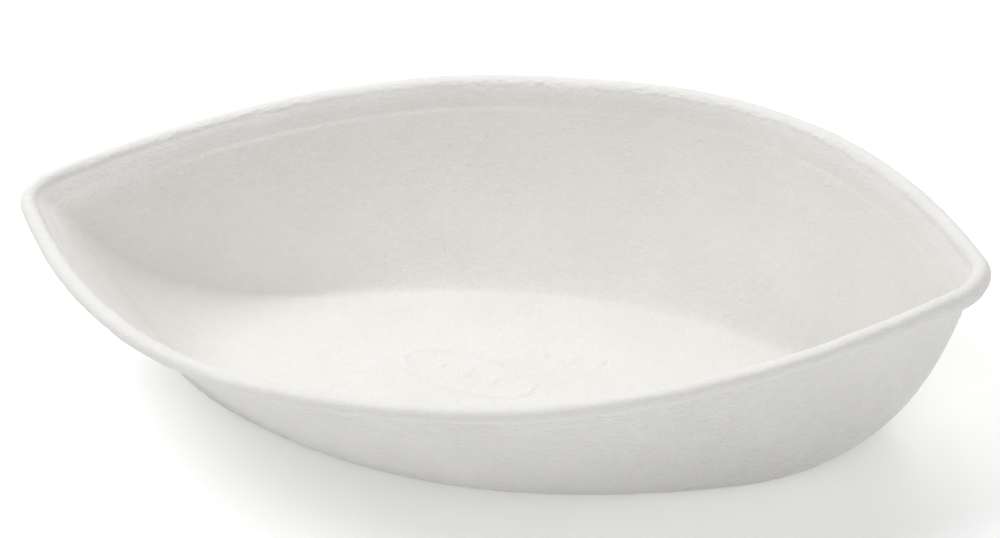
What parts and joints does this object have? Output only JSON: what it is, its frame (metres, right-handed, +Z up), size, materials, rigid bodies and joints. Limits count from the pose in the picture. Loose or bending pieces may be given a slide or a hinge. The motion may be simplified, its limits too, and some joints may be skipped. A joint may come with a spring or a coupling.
{
  "type": "kidney dish",
  "caption": "Disposable moulded-pulp kidney dish: a boat-shaped bowl with two pointed ends, sloping walls, a flat base and a rolled rim that stands a little higher at one end.",
  "frame": {"origin": "middle of the underside of the flat base", "axes": "+X along the dish from point to point, +Y across the bowl, +Z up out of the bowl"},
  "size_m": [0.27, 0.135, 0.0556],
  "materials": {
    "moulded_pulp": "matt off-white pulp with a fine fibre grain"
  },
  "bodies": {
    "root": {"dish_shell": "moulded_pulp"}
  },
  "joints": []
}
